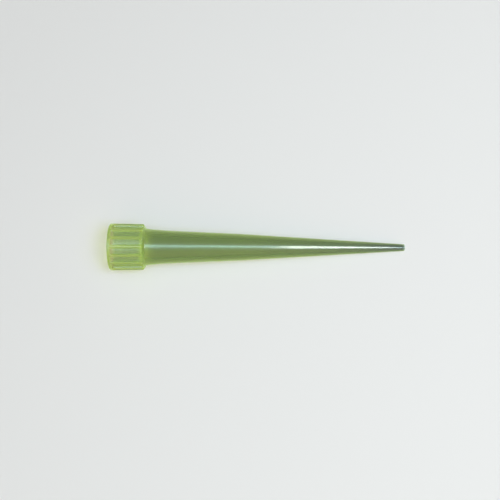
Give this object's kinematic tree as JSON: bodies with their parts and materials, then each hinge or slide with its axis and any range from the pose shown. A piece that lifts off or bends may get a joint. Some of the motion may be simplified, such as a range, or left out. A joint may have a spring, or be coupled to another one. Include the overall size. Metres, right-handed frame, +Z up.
{
  "type": "pipette tip",
  "caption": "Hollow tapered plastic tip with a ribbed socket collar, a sloping shoulder and a fine orifice at its narrow end.",
  "frame": {"origin": "middle of the footprint's bounding box, on the surface that the tip lies on", "axes": "+Z up; the tip lies on its side along X, mouth towards -X and narrow end towards +X, with its axis tilted 4.1 degrees down towards the narrow end"},
  "size_m": [0.0502, 0.0078, 0.008],
  "materials": {
    "tinted_polypropylene": "translucent yellow-green polypropylene with a satin gloss, straight from a polished mould"
  },
  "bodies": {
    "root": {"pipette_tip": "tinted_polypropylene"}
  },
  "joints": []
}
